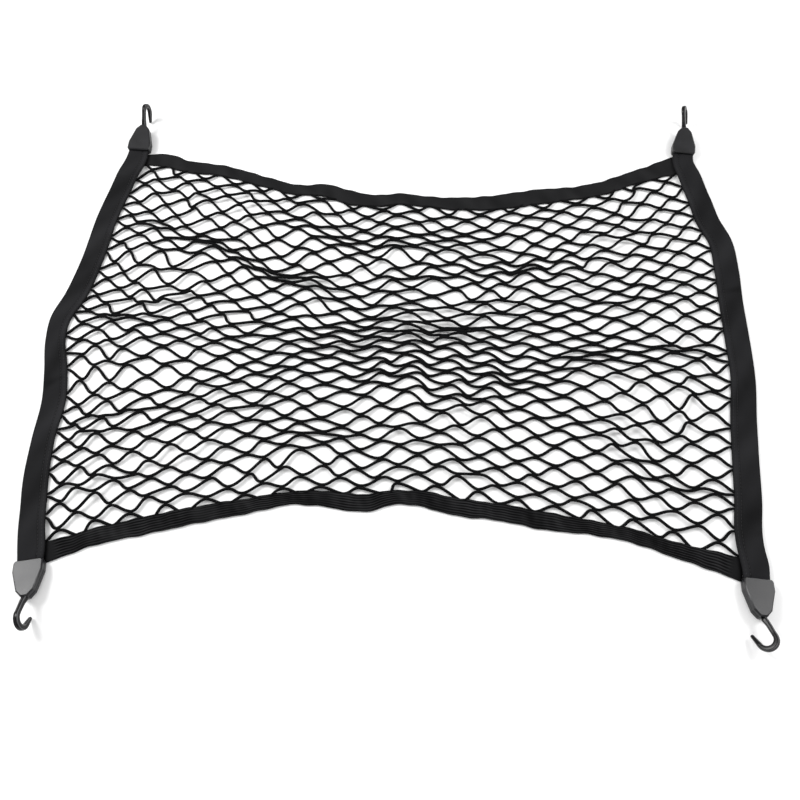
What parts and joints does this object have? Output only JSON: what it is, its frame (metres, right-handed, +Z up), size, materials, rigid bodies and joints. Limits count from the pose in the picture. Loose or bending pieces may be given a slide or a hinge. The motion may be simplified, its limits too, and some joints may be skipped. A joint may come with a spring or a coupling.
{
  "type": "elastic cargo net",
  "caption": "Flat elastic mesh net with webbing side bands, gathered elastic end bands and open swivelling hooks in corner housings, for holding luggage down",
  "frame": {"origin": "on the surface the net lies on, at the middle of the whole outline", "axes": "+X along the long side to the right in the picture, +Y to the far side, +Z up out of the flat net"},
  "size_m": [0.8804, 0.7616, 0.0314],
  "materials": {
    "net_cord": "matt near-black braided elastic cord",
    "webbing": "charcoal woven webbing, fine weave",
    "elastic": "near-black ribbed elastic, slightly gathered",
    "housing_plastic": "dark grey satin moulded plastic",
    "hook_plastic": "black semi-gloss moulded plastic"
  },
  "bodies": {
    "net_body": {"net": "net_cord", "near_band": "elastic", "right_band": "webbing", "far_band": "elastic", "left_band": "webbing", "housing_near_left": "housing_plastic", "housing_near_right": "housing_plastic", "housing_far_right": "housing_plastic", "housing_far_left": "housing_plastic"},
    "hook_body_near_left": {"hook_near_left": "hook_plastic"},
    "hook_body_near_right": {"hook_near_right": "hook_plastic"},
    "hook_body_far_right": {"hook_far_right": "hook_plastic"},
    "hook_body_far_left": {"hook_far_left": "hook_plastic"}
  },
  "joints": [
    {"name": "swivel_near_left", "type": "hinge", "parent": "net_body", "child": "hook_body_near_left", "pos_m": [-0.38973, -0.3255, 0.01217], "axis": [0.1545, -0.9755, 0.1564], "continuous": true},
    {"name": "swivel_near_right", "type": "hinge", "parent": "net_body", "child": "hook_body_near_right", "pos_m": [0.37109, -0.3459, 0.01147], "axis": [-0.1207, -0.9829, 0.1392], "continuous": true},
    {"name": "swivel_far_right", "type": "hinge", "parent": "net_body", "child": "hook_body_far_right", "pos_m": [0.40348, 0.33911, 0.01425], "axis": [0.1361, 0.9686, 0.2079], "continuous": true},
    {"name": "swivel_far_left", "type": "hinge", "parent": "net_body", "child": "hook_body_far_left", "pos_m": [-0.36651, 0.34604, 0.01217], "axis": [0.0861, 0.9839, 0.1564], "continuous": true}
  ]
}
